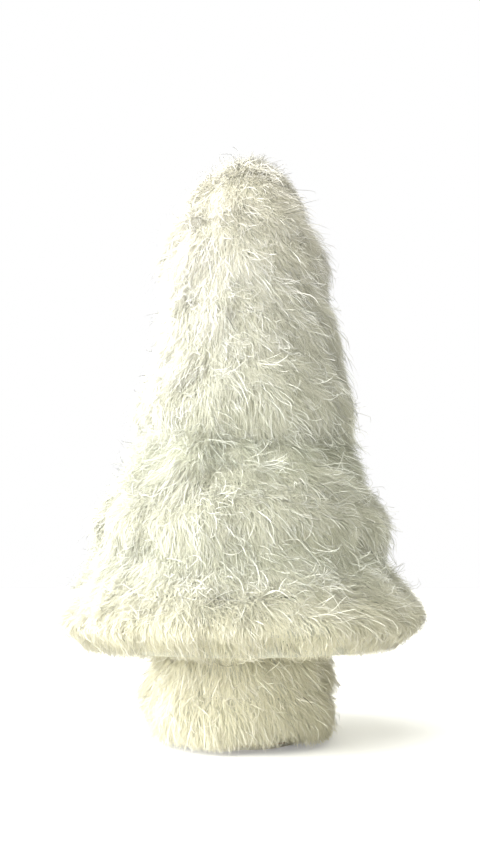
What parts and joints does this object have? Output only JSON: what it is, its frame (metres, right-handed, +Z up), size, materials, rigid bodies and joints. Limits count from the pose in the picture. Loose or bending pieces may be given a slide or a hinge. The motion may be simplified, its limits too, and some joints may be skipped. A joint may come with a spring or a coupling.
{
  "type": "tinsel christmas tree",
  "caption": "Small free-standing white tinsel tree: foam cone tiers and a stub trunk on a weighted foot, each wound with fluffy garland.",
  "frame": {"origin": "middle of the felt pad's underside, on the surface that the tree stands on", "axes": "+Z up along the dowel to the crown; -Y is the pictured front, +X to the right as pictured; the garlands' ends are at the back, +Y"},
  "size_m": [0.1956, 0.1932, 0.3001],
  "materials": {
    "tinsel": "cream-white fine tinsel pile, slightly glossy strands, yellow-green in the shadows",
    "wire": "bare twisted core wire",
    "foam": "white expanded polystyrene, fine beads",
    "card": "off-white card, matt",
    "wood": "plain turned dowel, unfinished",
    "fibreboard": "sawn fibreboard, unfinished",
    "steel": "bright zinc-plated steel",
    "felt": "off-white felt"
  },
  "bodies": {
    "root": {"felt_pad": "felt", "base_board": "fibreboard", "base_screw": "steel", "ballast_plate": "steel", "centre_dowel": "wood", "trunk_core": "foam", "lower_tier_disc": "card", "lower_tier_core": "foam", "middle_tier_disc": "card", "middle_tier_core": "foam", "upper_tier_disc": "card", "upper_tier_core": "foam", "trunk_garland": "tinsel", "trunk_garland_wire": "wire", "lower_garland": "tinsel", "lower_garland_wire": "wire", "middle_garland": "tinsel", "middle_garland_wire": "wire", "upper_garland": "tinsel", "upper_garland_wire": "wire"}
  },
  "joints": []
}
